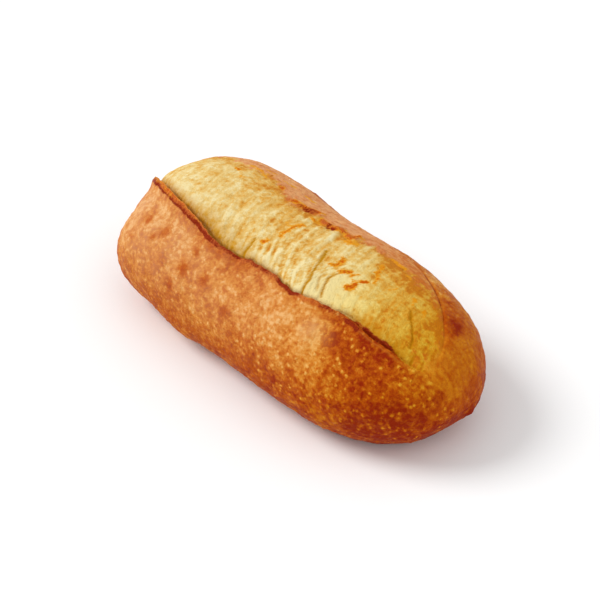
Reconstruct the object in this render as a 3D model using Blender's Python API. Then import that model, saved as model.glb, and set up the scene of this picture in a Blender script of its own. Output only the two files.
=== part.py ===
"""A batard: an oval hearth loaf, slashed once along its top.

The loaf lies along X on a flat base at Z = 0. Its near crust is on the -Y side and ends in the ear, the
lip of crust that the slash lifted. Behind the ear the pale bloom bulges out of the slash, as far as a
shallow crease on the +Y side. It is one solid.

Places along the loaf run from -1 at the far end (-X) to 1 at the near end (+X). Places round it are angles
in degrees, counted from the middle of the top and positive towards +Y.
"""

import bmesh
import bpy
import numpy as np

MM = 0.001

# Driving dimensions, in metres
LENGTH = 0.264
WIDTH = 0.126
HEIGHT = 0.080
BELLY_HEIGHT = 0.031            # height of the widest line round the sides
FOOT_ROUNDING = 0.004           # softness of the turn from the sides into the flat base
WAIST_DEPTH = 0.035             # how much narrower the middle is, as a share of the width
WAIST_REACH = 0.4               # how far the waist runs to each side, as a share of the half length

# How blunt the loaf is: a larger power is a blunter end or a squarer section
PLAN_POWER = {"far": 5.6, "near": 3.1}
TOP_POWER = {"far": 4.6, "near": 2.6}
UNDERSIDE_POWER = {"far": 9.0, "near": 6.5}
END_ROUNDNESS = 0.45
UNDERSIDE_ROUNDNESS = 0.75
SECTION_POWER = 2.3
UNDERSIDE_DEPTH = 1.25          # depth of the section below the belly line, in belly heights
BASE_EDGE = 152                 # angle of the flat base's edge

# Lines along the loaf: (place, angle)
EAR_LINE = ((-1.0, -6), (-0.93, -13), (-0.74, -22), (-0.5, -30), (-0.28, -34), (0.2, -31.5),
            (0.45, -26), (0.8, -24), (0.9, -18), (1.0, -10))
CREASE_LINE = ((-1.0, 4), (-0.94, 18), (-0.82, 40), (-0.5, 50), (0.0, 49), (0.35, 44), (0.55, 35),
               (0.72, 22.5), (0.83, 8), (0.9, -7), (1.0, 0))
# The ragged rim of the bloom's browned far strip: (place, share of the way from the ear to the crease)
RIM_LINE = ((-1.0, 0.65), (-0.5, 0.67), (-0.2, 0.57), (0.04, 0.69), (0.25, 0.78), (0.4, 0.84), (1.0, 0.84))

# Heights and depths along the loaf: (place, millimetres)
EAR_HEIGHT = ((-1.0, 0), (-0.965, 0.6), (-0.915, 3.8), (-0.84, 4.4), (-0.6, 4.4), (-0.4, 4.0), (-0.2, 2.8),
              (0.1, 2.0), (0.45, 2.4), (0.7, 2.2), (0.8, 1.2), (0.9, 0), (1.0, 0))
SLASH_DEPTH = ((-1.0, 0), (-0.93, 1.6), (-0.6, 3.4), (-0.35, 4.0), (-0.1, 2.4), (0.3, 2.0), (0.6, 2.6),
               (0.78, 1.6), (0.9, 0), (1.0, 0))
BLOOM_SWELL = ((-1.0, 0), (-0.9, 1.0), (-0.6, 2.4), (0.0, 2.8), (0.5, 2.4), (0.8, 1.0), (0.92, 0), (1.0, 0))
CREASE_DEPTH = ((-1.0, 0), (-0.9, 0.8), (0.2, 1.0), (0.6, 0.9), (0.82, 0.5), (0.92, 0), (1.0, 0))
RIM_HEIGHT = ((-1.0, 0), (-0.7, 0.4), (-0.45, 1.0), (0.2, 1.1), (0.4, 0.5), (0.6, 0), (1.0, 0))

# The section from the ear's edge down into the slash: degrees past the ear line, then shares of the ear's
# height, of the slash's depth and of the ear's lean
SLASH_SECTION = ((0.0, 1.0, 0.0, 1.0), (1.6, 0.93, 0.0, 1.0), (1.8, 0.3, 0.5, 0.0), (3.2, 0.0, 1.0, 0.0))
BLOOM_FOOT = 4.4                # degrees past the ear line where the bloom comes up out of the slash
EAR_FLARE = 15                  # degrees of crust that lift with the ear
EAR_LEAN = 0.3                  # how far the ear leans over the slash, as a share of its height
BLOOM_SHOULDER = 9              # degrees in which the bloom rises out of the slash
CREASE_SHOULDER = 5             # degrees in which it falls into the crease
CREASE_BANK = 3                 # degrees in which the far crust rises out of the crease
RIM_FADE = 12                   # degrees in which the rim's height fades
RIM_WANDER = 1.6                # degrees by which the rim wanders

# Hollows and swellings of the hand-shaped loaf: (place, angle, reach in mm, height in mm)
SWELLINGS = ((-0.86, -88, 18, 2.4), (-0.93, -55, 20, -3.0), (-0.6, -110, 14, -1.6), (-0.32, -113, 15, 2.0),
             (0.1, -112, 22, 0.5), (0.8, -126, 24, -1.8), (0.95, 147, 10, 1.8), (-0.07, 52, 30, -2.2))

# Mesh: stations along the loaf, and columns round it for each strip of the section, 64 in all
STATIONS = 88
NEAR_BASE_COLUMNS = 3
NEAR_CRUST_COLUMNS = 17
FLARE_COLUMNS = 5
BLOOM_COLUMNS = 10
FAR_STRIP_COLUMNS = 6
FAR_CRUST_COLUMNS = 15
FAR_BASE_COLUMNS = 3

CRUST_COLOUR = (0.52, 0.17, 0.035, 1.0)
CRUST_ROUGHNESS = 0.62


def smooth(value):
    """Ease from 0 to 1 as the value goes from 0 to 1."""
    value = np.clip(value, 0.0, 1.0)
    return value * value * (3.0 - 2.0 * value)


def along(knots, place):
    """Read a smooth curve through (place, value) knots."""
    places, values = np.array(knots, dtype=float).T
    slopes = np.gradient(values, places)
    place = np.clip(place, places[0], places[-1])
    left = np.clip(np.searchsorted(places, place) - 1, 0, len(places) - 2)
    span = places[left + 1] - places[left]
    t = (place - places[left]) / span
    return ((2 * t**3 - 3 * t**2 + 1) * values[left] + (t**3 - 2 * t**2 + t) * span * slopes[left]
            + (3 * t**2 - 2 * t**3) * values[left + 1] + (t**3 - t**2) * span * slopes[left + 1])


def signed_power(value, power):
    return np.sign(value) * np.abs(value) ** power


def unit(vectors):
    return vectors / np.maximum(np.linalg.norm(vectors, axis=-1, keepdims=True), 1e-12)


def plain_loaf(place, angle):
    """The loaf before the slash opened: points at places along it and angles round it."""
    def taper(power, roundness=END_ROUNDNESS):
        end_power = np.where(place < 0, power["far"], power["near"])
        return np.clip(1.0 - np.abs(place) ** end_power, 0.0, None) ** roundness

    waist = 1.0 - WAIST_DEPTH * np.exp(-(place / WAIST_REACH) ** 2)
    across = signed_power(np.sin(np.radians(angle)), 2.0 / SECTION_POWER)
    upward = signed_power(np.cos(np.radians(angle)), 2.0 / SECTION_POWER)
    crown = (HEIGHT - BELLY_HEIGHT) * taper(TOP_POWER)
    underside = UNDERSIDE_DEPTH * BELLY_HEIGHT * taper(UNDERSIDE_POWER, UNDERSIDE_ROUNDNESS)
    x = 0.5 * LENGTH * place + 0.0 * across     # as many values as the others
    y = 0.5 * WIDTH * taper(PLAN_POWER) * waist * across
    z = BELLY_HEIGHT + np.where(upward > 0, crown, underside) * upward
    foot = (z + FOOT_ROUNDING) ** 2 / (4.0 * FOOT_ROUNDING)
    z = np.where(z < -FOOT_ROUNDING, 0.0, np.where(z < FOOT_ROUNDING, foot, z))
    return np.stack([x, y, z], axis=-1)


def directions(place, angle):
    """The outward direction of the plain loaf, and the direction in which the angle grows."""
    inside = np.clip(place, -0.9995, 0.9995)
    step = 2e-4
    lengthwise = plain_loaf(inside + step, angle) - plain_loaf(inside - step, angle)
    onward = plain_loaf(inside, angle + 0.5) - plain_loaf(inside, angle - 0.5)
    return unit(np.cross(lengthwise, onward)), unit(onward)


def swellings(skin):
    """Slow hollows and swellings of a loaf shaped by hand, in metres."""
    x, y, z = np.moveaxis(skin / MM, -1, 0)
    height = 0.22 * np.sin(x / 4.3 + z / 5.9 + 1.2) * np.sin(y / 5.2 - x / 11.0 + 0.4)
    for place, angle, reach, rise in SWELLINGS:
        centre = plain_loaf(np.float64(place), np.float64(angle))
        distance = np.linalg.norm(skin - centre, axis=-1)
        height = height + rise * np.exp(-(distance / (reach * MM)) ** 2)
    return height * MM


def rim_angle(place, ear, crease):
    """The wandering angle of the ragged rim on the bloom."""
    wander = np.sin(17.0 * place + 0.8) * np.sin(41.0 * place) + 0.5 * np.sin(73.0 * place + 2.0)
    share = along(RIM_LINE, place)
    return ear + (crease - ear) * share + RIM_WANDER * wander * smooth(1.6 - 2.0 * np.abs(place))


def bloom_rise(place, angle, foot, crease, rim):
    """Height of the bloom over the plain loaf, in millimetres."""
    depth = along(SLASH_DEPTH, place)
    from_foot = np.clip((angle - foot) / BLOOM_SHOULDER, 0.0, 1.0)
    to_crease = np.clip((crease - angle) / CREASE_SHOULDER, 0.0, 1.0)
    shoulder = np.sqrt(1.0 - (1.0 - from_foot) ** 2)
    far_shoulder = np.sqrt(1.0 - (1.0 - to_crease) ** 2)
    share = np.clip((angle - foot) / (crease - foot), 0.0, 1.0)
    pillow = along(BLOOM_SWELL, place) * (1.0 - 0.8 * smooth(1.3 * share - 0.3))
    strip = along(RIM_HEIGHT, place) * (angle > rim - 0.01) * smooth(1.0 - (angle - rim) / RIM_FADE)
    rise = (pillow + depth) * shoulder - depth + strip
    return rise * far_shoulder - along(CREASE_DEPTH, place) * (1.0 - far_shoulder)


def section(place):
    """Angles, rises and leans of the section's columns, at a column of places along the loaf."""
    ear = along(EAR_LINE, place)
    crease = along(CREASE_LINE, place)
    rim = rim_angle(place, ear, crease)
    foot = ear + BLOOM_FOOT
    height = along(EAR_HEIGHT, place)
    depth = along(SLASH_DEPTH, place)
    groove = along(CREASE_DEPTH, place)
    angles, rises, leans = [], [], []

    def strip(start, end, count, rise=None, crowding=1.0):
        share = (np.arange(count) / count) ** crowding
        angle = start + (end - start) * share
        angles.append(angle)
        rises.append(rise(angle) if rise else 0.0 * angle)
        leans.append(0.0 * angle)

    def flare(angle):
        return height * np.clip((angle - ear + EAR_FLARE) / EAR_FLARE, 0.0, 1.0) ** 2.2

    def bloom(angle):
        return bloom_rise(place, angle, foot, crease, rim)

    strip(-180.0 + 0.0 * ear, -BASE_EDGE, NEAR_BASE_COLUMNS)
    strip(-BASE_EDGE, ear - EAR_FLARE, NEAR_CRUST_COLUMNS)
    strip(ear - EAR_FLARE, ear, FLARE_COLUMNS, flare, crowding=0.8)
    for onward, height_share, depth_share, lean_share in SLASH_SECTION:
        angles.append(ear + onward)
        rises.append(height * height_share - depth * depth_share)
        leans.append(height * EAR_LEAN * lean_share)
    strip(foot, rim, BLOOM_COLUMNS, bloom, crowding=1.35)
    strip(rim, crease, FAR_STRIP_COLUMNS, bloom, crowding=0.8)
    angles.append(crease)
    rises.append(-groove)
    leans.append(0.0 * groove)
    strip(crease + CREASE_BANK, BASE_EDGE, FAR_CRUST_COLUMNS, crowding=1.2)
    strip(BASE_EDGE + 0.0 * ear, 180.0, FAR_BASE_COLUMNS)
    return np.hstack(angles), np.hstack(rises) * MM, np.hstack(leans) * MM


def loaf_points():
    """Every point of the loaf, as rows of stations and columns of the section."""
    place = -np.cos(np.pi * np.arange(STATIONS + 1) / STATIONS)[:, None]
    angle, rise, lean = section(place)
    skin = plain_loaf(place, angle)
    outward, onward = directions(place, angle)
    off_base = smooth(skin[..., 2] / (8 * MM))
    rise = rise + swellings(skin) * off_base
    return skin + outward * rise[..., None] + onward * lean[..., None]


def make_loaf(collection):
    """Shape a sphere whose poles are the loaf's two ends."""
    points = loaf_points()
    around = points.shape[1]
    shape = bmesh.new()
    bmesh.ops.create_uvsphere(shape, u_segments=around, v_segments=STATIONS, radius=1.0)
    for vertex in shape.verts:
        polar = np.arccos(np.clip(vertex.co.z, -1.0, 1.0))
        turn = np.arctan2(vertex.co.y, vertex.co.x) / (2.0 * np.pi)
        station = round(polar / np.pi * STATIONS)
        column = round(turn * around) % around
        vertex.co = points[station, column]
    bmesh.ops.recalc_face_normals(shape, faces=shape.faces)
    mesh = bpy.data.meshes.new("loaf")
    shape.to_mesh(mesh)
    shape.free()
    mesh.shade_smooth()
    mesh.set_sharp_from_angle(angle=np.radians(50))
    loaf = bpy.data.objects.new("loaf", mesh)
    collection.objects.link(loaf)
    return loaf


def crust_material():
    material = bpy.data.materials.new("crust")
    material.use_nodes = True
    surface = material.node_tree.nodes["Principled BSDF"]
    surface.inputs["Base Color"].default_value = CRUST_COLOUR
    surface.inputs["Roughness"].default_value = CRUST_ROUGHNESS
    surface.inputs["Metallic"].default_value = 0.0
    return material


def main():
    for thing in list(bpy.data.objects):
        bpy.data.objects.remove(thing, do_unlink=True)
    collection = bpy.data.collections.new("batard_loaf")
    bpy.context.scene.collection.children.link(collection)
    loaf = make_loaf(collection)
    loaf.data.materials.append(crust_material())


if __name__ == "__main__":
    main()
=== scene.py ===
"""A batard: an oval hearth loaf, slashed once along its top, with its crust, ear and bloom in full detail.

The loaf lies along X on a flat base at Z = 0. Its near crust is on the -Y side and ends in the ear, the lip
of crust that the slash lifted. Behind the ear the pale bloom bulges out of the slash, as far as a ragged
rim, a browner far slope and a shallow crease on the +Y side.

Places along the loaf run from -1 at the far end (-X) to 1 at the near end (+X). Places round it are angles
in degrees, counted from the middle of the top and positive towards +Y. Heights of relief are in millimetres.
"""

import math

import bpy
import numpy as np
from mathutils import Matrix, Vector, kdtree, noise


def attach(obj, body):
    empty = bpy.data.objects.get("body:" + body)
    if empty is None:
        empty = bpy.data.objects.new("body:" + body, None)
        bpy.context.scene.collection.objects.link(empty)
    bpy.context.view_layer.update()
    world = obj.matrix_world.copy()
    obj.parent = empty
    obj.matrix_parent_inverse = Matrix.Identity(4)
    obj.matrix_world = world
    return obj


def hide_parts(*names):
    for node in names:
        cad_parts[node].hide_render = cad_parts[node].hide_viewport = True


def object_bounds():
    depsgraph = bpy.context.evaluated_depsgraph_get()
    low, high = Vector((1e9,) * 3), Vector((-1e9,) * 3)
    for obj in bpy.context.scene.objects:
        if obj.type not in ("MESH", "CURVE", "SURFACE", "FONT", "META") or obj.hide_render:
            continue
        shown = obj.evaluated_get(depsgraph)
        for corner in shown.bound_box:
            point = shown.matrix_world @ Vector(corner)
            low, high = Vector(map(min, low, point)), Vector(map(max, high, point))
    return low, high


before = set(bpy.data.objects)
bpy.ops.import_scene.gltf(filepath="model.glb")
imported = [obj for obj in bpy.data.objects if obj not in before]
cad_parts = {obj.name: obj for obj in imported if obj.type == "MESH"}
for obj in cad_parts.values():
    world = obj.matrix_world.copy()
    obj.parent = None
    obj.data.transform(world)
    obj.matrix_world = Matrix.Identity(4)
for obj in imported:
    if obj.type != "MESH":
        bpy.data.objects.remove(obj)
CAD_LOW, CAD_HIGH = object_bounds()

bl_info = {
    "name": "Batard Loaf",
    "version": (1, 0, 0),
    "blender": (4, 5, 0),
    "location": "View3D > Sidebar > Loaf",
    "description": "Models a slashed oval hearth loaf and its baked crust",
    "category": "Object",
}

MM = 0.001

# The body under the crust's relief, from the frame's box. The oval is a little wider than the box, because
# its hollows narrow it, and its height leaves out the swell of the bloom.
HALF_LENGTH = 0.5 * (CAD_HIGH.x - CAD_LOW.x)
HALF_WIDTH = 0.506 * (CAD_HIGH.y - CAD_LOW.y)
HEIGHT = CAD_HIGH.z - 2.8 * MM
BELLY_HEIGHT = 31 * MM
FOOT_ROUNDING = 4 * MM
WAIST_DEPTH = 0.035
WAIST_REACH = 0.4

# How blunt the loaf is: a larger power is a blunter end or a squarer section
PLAN_POWER = {"far": 5.6, "near": 3.1}
TOP_POWER = {"far": 4.6, "near": 2.6}
UNDERSIDE_POWER = {"far": 9.0, "near": 6.5}
END_ROUNDNESS = 0.45
UNDERSIDE_ROUNDNESS = 0.75
SECTION_POWER = 2.3
UNDERSIDE_DEPTH = 1.25

# Lines along the loaf: (place, angle)
EAR_LINE = (
    (-1, -6), (-0.93, -13), (-0.74, -20.8), (-0.5, -26.8), (-0.41, -28.8), (-0.33, -31.7), (-0.24, -33.2),
    (-0.15, -32.5), (-0.08, -30.5), (0, -29.4), (0.08, -28.8), (0.145, -29.9), (0.19, -30.3),
    (0.24, -29.7), (0.31, -27.8), (0.42, -25), (0.49, -24), (0.57, -24.8), (0.64, -25.4), (0.73, -24.6),
    (0.82, -24.2), (0.9, -18), (1, -10))
CREASE_LINE = (
    (-1, 4), (-0.94, 18), (-0.82, 40), (-0.5, 50), (0, 49), (0.35, 44), (0.55, 35), (0.72, 22.5),
    (0.83, 8), (0.9, -7), (1, 0))
RIM_LINE = (
    (-1, 0), (-0.9, 14), (-0.72, 24), (-0.66, 22), (-0.55, 21), (-0.46, 23.5), (-0.36, 20.5), (-0.28, 16),
    (-0.21, 12.8), (-0.15, 15), (-0.09, 19), (-0.055, 18), (-0.03, 15), (0.06, 17), (0.12, 18), (0.19, 20),
    (0.25, 22.5), (0.35, 24), (0.45, 25.5), (0.55, 25), (0.65, 23), (0.72, 20.5), (0.83, 7), (0.9, -8),
    (1, -1))

# Heights, depths and widths along the loaf: (place, millimetres)
EAR_HEIGHT = (
    (-1, 0), (-0.965, 0.6), (-0.915, 3.8), (-0.84, 4.4), (-0.6, 4.4), (-0.4, 4), (-0.2, 2.8), (0.1, 2),
    (0.45, 2.4), (0.7, 2.2), (0.8, 1.2), (0.9, 0), (1, 0))
SLASH_DEPTH = (
    (-1, 0), (-0.93, 1.6), (-0.6, 3.2), (-0.36, 3.8), (-0.2, 2), (-0.05, 1.2), (0.3, 0.9), (0.5, 1.5),
    (0.65, 2.2), (0.78, 1.4), (0.9, 0), (1, 0))
BLOOM_SWELL = ((-1, 0), (-0.9, 1), (-0.6, 2.4), (0, 2.8), (0.5, 2.4), (0.8, 1), (0.92, 0), (1, 0))
CREASE_DEPTH = ((-1, 0), (-0.9, 0.8), (0.2, 1), (0.6, 0.9), (0.82, 0.5), (0.92, 0), (1, 0))
RIM_HEIGHT = ((-1, 0), (-0.7, 0.4), (-0.45, 0.7), (0.2, 0.7), (0.4, 0.5), (0.6, 0), (1, 0))
RIM_SOFTNESS = ((-1, 13), (-0.7, 11), (-0.45, 8), (-0.3, 5), (0.08, 4), (0.25, 7), (0.45, 10), (1, 10))
TORN_WIDTH = (
    (-1, 0), (-0.955, 0.3), (-0.9, 0.9), (-0.75, 1.3), (-0.6, 1.2), (-0.5, 1), (-0.36, 0.7), (-0.28, 0.3),
    (-0.2, 0.3), (0.4, 0.3), (0.8, 0.3), (0.86, 0), (1, 0))
# How far the golden painted shade reaches past the bloom's foot
FOOT_SHADE_WIDTH = (
    (-1, 3), (-0.75, 4), (-0.5, 6), (-0.38, 9), (-0.24, 9), (-0.03, 3.5), (0.08, 2), (0.45, 1.8), (0.6, 6),
    (1, 6))

# How far past the ear the inner lip and the bloom's foot are, and how wide its shoulder is: (place, degrees)
INNER_LIP = (
    (-1, 1.6), (-0.35, 1.6), (-0.24, 1.1), (0.4, 1.1), (0.5, 3.4), (0.58, 5.2), (0.7, 5.4), (0.77, 3.6),
    (0.84, 2.2), (1, 2.2))
BLOOM_FOOT = ((-1, 3.6), (-0.35, 3.6), (-0.2, 2), (0, 1.7), (0.4, 1.7), (0.5, 4.4), (1, 4.4))
BLOOM_SHOULDER = ((-1, 9), (-0.38, 9), (-0.18, 5), (0.4, 5), (0.56, 8), (1, 9))

# How wide the section of the slash is, how scorched the ear's crest, the torn band's lower edge and the lip
# beside the bloom are, how reddened the crust's edge and how much golden painted shade the bloom's foot gets:
# (place, share)
LIP_WIDTH = ((-1, 0.7), (-0.35, 0.7), (-0.24, 0.5), (0.4, 0.5), (0.52, 1), (1, 1))
CREST_SCORCH = (
    (-1, 0), (-0.965, 0.7), (-0.88, 0.5), (-0.7, 0.3), (-0.5, 0.3), (-0.36, 0.5), (-0.28, 1), (-0.2, 0.9),
    (-0.14, 1.1), (-0.1, 0.6), (-0.04, 0.8), (0.02, 0.9), (0.09, 0.6), (0.13, 1.6), (0.22, 1.6),
    (0.25, 0.5), (0.34, 0.35), (0.4, 1.2), (0.44, 0.5), (0.48, 0.5), (0.52, 1.3), (0.56, 1.1), (0.61, 0.3),
    (0.72, 0.2), (0.86, 0), (1, 0))
LOWER_SCORCH = (
    (-1, 0), (-0.96, 0.9), (-0.8, 1.3), (-0.6, 1.2), (-0.47, 1.25), (-0.38, 1.7), (-0.32, 1.5),
    (-0.27, 0.3), (-0.2, 0), (1, 0))
INNER_SCORCH = (
    (-1, 0), (0.42, 0), (0.46, 1), (0.52, 1.2), (0.56, 0.7), (0.6, 1.2), (0.64, 0.9), (0.68, 1.5),
    (0.72, 1.1), (0.75, 0.4), (0.78, 0), (1, 0))
REDDENED = (
    (-1, 0), (-0.9, 0.3), (-0.5, 0.7), (-0.3, 1), (-0.05, 0.9), (0.1, 0.5), (0.3, 0.5), (0.45, 0.3),
    (0.52, 0), (1, 0))
FOOT_SHADE = (
    (-1, 0), (-0.93, 0.5), (-0.7, 0.95), (-0.4, 1.1), (-0.26, 1.1), (-0.12, 0.9), (0.08, 0.7), (0.2, 0.45),
    (0.45, 0.3), (0.55, 0.8), (0.75, 0.9), (0.85, 0), (1, 0))

# The section from the ear's edge down into the slash: degrees past the ear line, then shares of the ear's
# height, of the slash's depth and of the ear's lean
SLASH_SECTION = (
    (0, 1, 0, 1), (0.8, 1, 0, 1), (1.5, 0.9, 0, 1), (1.9, 0.55, 0.2, 0.6), (2.1, 0.2, 0.6, 0.1),
    (2.8, 0, 0.95, 0), (4.4, 0, 1, 0))
EAR_LEAN = 0.3
EAR_SWEEP = 2.2         # a larger power keeps the crust before the ear lower for longer

# Widths round the loaf, in degrees
EAR_FLARE = 15
CREASE_WIDTH = 1.5
CREASE_SHOULDER = 5
CREASE_BANK = 3
RIM_FADE = 12

# Hollows and swellings of the hand-shaped loaf: (place, angle, reach in mm, height in mm), and its slight
# unevenness in mm
UNEVEN_HEIGHT = 0.22
SWELLINGS = (
    (-0.86, -88, 18, 2.4), (-0.93, -55, 20, -3), (-0.6, -110, 14, -1.6), (-0.32, -113, 15, 2),
    (0.1, -112, 22, 0.5), (0.8, -126, 24, -1.8), (0.95, 147, 10, 1.8), (0.978, 147, 3.5, 1.8),
    (-0.07, 52, 30, -2.2))

# Notches in the ear's edge: (place, half width in mm, depth in mm)
EAR_NOTCHES = ((-0.38, 5, 1.4), (-0.13, 3, 1.2), (0, 3, 0.4), (0.14, 3, 0.7), (0.2, 2.4, 0.6))

# Cracks in the bloom: width and depth in mm, then (place, angle) from end to end
CRACKS = (
    (0.8, 0.75, ((0.153, 0.4), (0.165, -1.9), (0.181, -5.2), (0.204, -11.5), (0.226, -16.5),
                 (0.24, -21.8), (0.251, -27))),
    (0.7, 0.55, ((0.307, -3), (0.292, -6.7), (0.286, -10.2), (0.298, -14.6), (0.318, -18.4), (0.336, -22))),
    (0.6, 0.35, ((0.25, -10.5), (0.255, -13.4), (0.275, -17.1), (0.298, -20.5))),
    (0.65, 0.65, ((0.64, 4.4), (0.687, 0.3), (0.726, -3), (0.758, -6), (0.772, -11))),
    (0.7, 0.7, ((0.802, -11.5), (0.811, -15.7), (0.822, -19.5))),
    (0.8, 0.8, ((-0.116, -29), (-0.12, -26), (-0.125, -21), (-0.135, -17))),
    (0.6, 0.2, ((-0.31, -27.5), (-0.285, -21), (-0.262, -17))),
    (0.6, 0.25, ((0.05, -26), (0.04, -21), (0.022, -16))))
DEEP_CRACK = 0.7        # mm of depth, from which a crack's painted shade is quite dark

# Tears, raised on their far side: width in mm, share of orange, share of scorch, then (place, angle)
TEARS = (
    (1.1, 0.8, 0, ((-0.062, -6.7), (-0.07, -3.3), (-0.07, -0.4), (-0.066, 1.5), (-0.055, 4.6))),
    (0.6, 0.7, 0, ((-0.114, 0.8), (-0.09, -0.3))),
    (1.1, 0.8, 0, ((-0.092, -15.4), (-0.086, -13.4))),
    (1, 1, 0.1, ((0.245, -0.2), (0.252, 1.2), (0.23, 1.9))),
    (0.9, 0.75, 0, ((0.222, -3.8), (0.252, -2.9), (0.245, -0.2))),
    (1.2, 0.7, 0, ((0.29, -3.9), (0.313, -2.5), (0.322, -1.2))),
    (0.8, 0.6, 0, ((0.345, -2.4), (0.352, -0.2))),
    (1.3, 1.1, 0.15, ((0.379, -8.7), (0.394, -6.9), (0.394, -4.9))),
    (0.9, 0.9, 0, ((0.394, -4.9), (0.398, -1.4), (0.415, 0.2))),
    (0.7, 0.6, 0, ((0.379, -6.1), (0.372, -3.3))),
    (0.8, 0.75, 0, ((0.436, 1.8), (0.422, 4.7), (0.386, 7.4))),
    (0.8, 0.7, 0.05, ((0.394, 8.4), (0.386, 11.6), (0.372, 15))),
    (1, 0.45, 0.55, ((0.352, 24.4), (0.375, 24.4), (0.401, 24.9), (0.429, 25))),
    (0.8, 0.4, 0.5, ((0.47, 21.8), (0.5, 21))),
    (0.9, 0.9, 0.6, ((-0.357, 20.7), (-0.335, 20.7))),
    (0.8, 0.9, 0.4, ((-0.604, 14.6), (-0.585, 14.8))),
    (0.8, 0.6, 0.3, ((-0.585, 24.3), (-0.519, 24.3), (-0.457, 22.5))),
    (1.7, 0.95, 0.5, ((-0.225, 16), (-0.205, 17.4), (-0.168, 16.9), (-0.137, 17.8), (-0.115, 19.4),
                      (-0.095, 22.4))),
    (1.6, 0.7, 1, ((-0.172, 17.2), (-0.14, 18.2), (-0.116, 20))),
    (0.9, 0.7, 0.15, ((-0.08, 12.6), (-0.035, 13.2), (-0.004, 13.4))),
    (1.7, 0.95, 0.5, ((-0.045, 16.6), (-0.024, 16.8), (0.006, 16.3), (0.036, 16), (0.059, 16.8))),
    (1.5, 0.6, 1.1, ((0.008, 16.6), (0.036, 16.4), (0.048, 16.8))),
    (0.8, 0.5, 0.9, ((-0.47, 27), (-0.45, 27.5))),
    (0.7, 0.6, 0.6, ((-0.53, 31), (-0.5, 31.5), (-0.47, 33))),
    (0.7, 0.5, 0.4, ((-0.4, 30), (-0.36, 30.5), (-0.33, 32))),
    (0.7, 0.5, 0.4, ((-0.25, 31), (-0.2, 30))),
    (1.3, 1, 0.4, ((0.075, 18.6), (0.106, 18), (0.145, 17.7))),
    (1.1, 1, 0.4, ((0.137, 17.1), (0.148, 20.1), (0.156, 23.1))),
    (2.4, 0.6, 0, ((0.164, 13.4), (0.184, 15.8))),
    (0.8, 0.4, 0, ((-0.53, 9), (-0.5, 10.5))),
    (0.8, 0.3, 0, ((0.5, 4), (0.52, 8))),
    (0.9, 0.4, 0, ((0.62, 8), (0.6, 12))),
    (0.9, 0.5, 0, ((0.69, 8), (0.67, 12))))

# Darker spots of the crust, its rosy spots and the painted highlight of its dull pinkish sheen: (place,
# angle, reach in mm, strength)
BLOTCHES = (
    (0.512, -38, 8, 0.75), (0.783, 28.5, 4.8, 0.75), (0.878, -75.4, 9, 0.35), (0.61, -100, 10, -0.5),
    # The paler spot at place 0.4, angle -41 widens the painted highlight of the sheen there
    (0.86, -20, 9, -0.35), (0.88, -8, 8, -0.3), (0.4, -41, 8, -0.45), (0.47, -56, 10, -0.3),
    (0.73, -21, 5, -0.25), (-0.09, -69, 6, -0.25), (0.54, -71, 5, 0.25), (0.18, -85, 5, 0.2),
    (0.48, -66, 5, 0.25), (-0.36, -80, 5, 0.25), (-0.49, -43, 5, -0.25), (0.47, -37, 5, 0.3),
    (0.58, -27, 5, 0.2), (-0.36, -34, 5, 0.2), (0.68, -70, 6, -0.2), (-0.75, -25, 4, -0.3),
    (0, -35, 5, 0.2), (0.82, 19, 6, 0.2), (-0.57, -64, 5, 0.2), (0.99, -33, 10, -0.5),
    (-0.357, -78, 9, 0.45), (0.19, -86, 12, 0.4), (0.975, 150, 4, 1.2), (0.04, -77, 8, 0.4),
    (0.75, 35, 14, 0.25), (0, -55, 16, 0.12), (-0.5, -60, 9, 0.3), (-0.19, -41, 6, 0.45),
    (-0.22, -67, 6, 0.3), (-0.62, -36, 6, -0.4), (-0.79, -38, 8, -0.4), (-0.6, -68, 8, 0.45),
    (-0.73, -78, 7, 0.25), (-0.31, -59, 6, 0.25), (-0.14, -60, 7, 0.25), (0.03, -34, 6, 0.5),
    (-0.08, -35, 5, 0.25), (0.26, -47, 11, -0.25), (0.83, -27, 7, -0.25), (0.37, -55, 6, -0.2),
    (-0.72, -60, 5, -0.4), (-0.78, -44, 6, -0.2), (-0.43, -53, 6, 0.2), (-0.22, -71, 6, 0.15),
    (-0.03, -88, 7, 0.15), (0.34, -80, 6, 0.15), (0.76, -100, 6, 0.15), (0.87, -102, 8, 0.2),
    (-0.86, -80, 7, 0.2), (0.28, -61, 7, 0.25), (0.75, -47, 6, 0.2), (0.3, 80, 10, 0.35),
    (-0.5, 86, 9, 0.35), (-0.75, 55, 7, 0.35))
ROSY = (
    (-0.693, -43.5, 4.2, 0.9), (-0.552, -44.1, 4, 1), (-0.357, -57.7, 4.5, 1.3), (-0.335, -43.4, 3, 1),
    (-0.22, -56, 4, 0.9), (-0.74, -62, 4, 0.7), (-0.6, -52, 2.5, 1), (-0.4, -74, 4, 0.7),
    (-0.05, -68, 4, 0.6), (0.02, -48, 6, 0.3), (-0.12, -38, 7, 0.3), (0.2, -45, 6, 0.2),
    (0.6, 60, 9, 0.3), (0.1, 75, 8, 0.4), (-0.3, 70, 8, 0.4))
SHEEN = (
    (0.45, -35, 5, 0.2), (0.39, -42, 7, 0.9), (0.49, -42, 5, 0.3), (0.12, -40, 12, 0.2),
    (-0.8, -36, 10, 0.8))

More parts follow.
